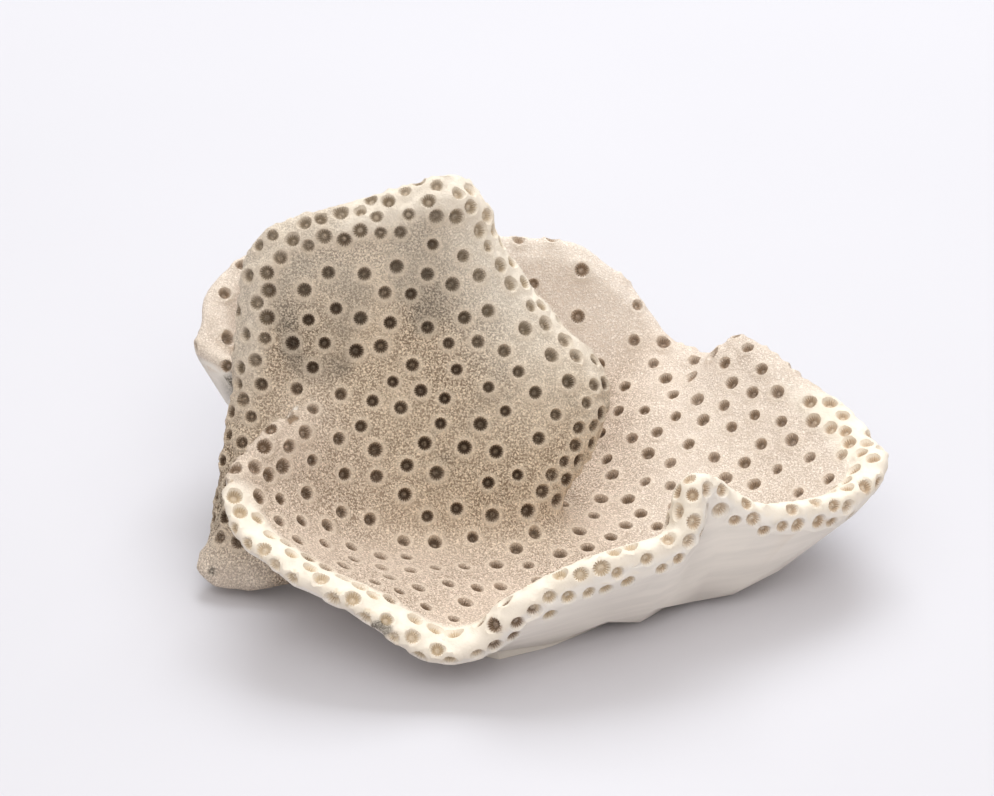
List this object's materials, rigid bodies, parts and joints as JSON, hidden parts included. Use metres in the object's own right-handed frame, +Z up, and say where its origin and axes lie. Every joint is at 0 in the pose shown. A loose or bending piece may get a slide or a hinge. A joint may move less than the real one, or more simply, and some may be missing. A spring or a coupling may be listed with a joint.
{
  "type": "plate coral",
  "caption": "Bleached plate coral: a shallow ruffled dish with an upright frond and a curled back leaf, pitted with small round cups above and cut flat below.",
  "frame": {"origin": "middle of the flat cut under the dish", "axes": "+X along the dish towards its right lobe, +Y from the front rim to the back leaf, +Z up out of the cut"},
  "size_m": [0.1161, 0.0956, 0.06],
  "materials": {
    "dish": "chalky bare coral skeleton, creamy white at the rims",
    "frond": "chalky bare coral skeleton, tan with dark cups",
    "leaf": "chalky bare coral skeleton, pale"
  },
  "bodies": {
    "root": {"dish": "dish", "upright_frond": "frond", "back_leaf": "leaf"}
  },
  "joints": []
}
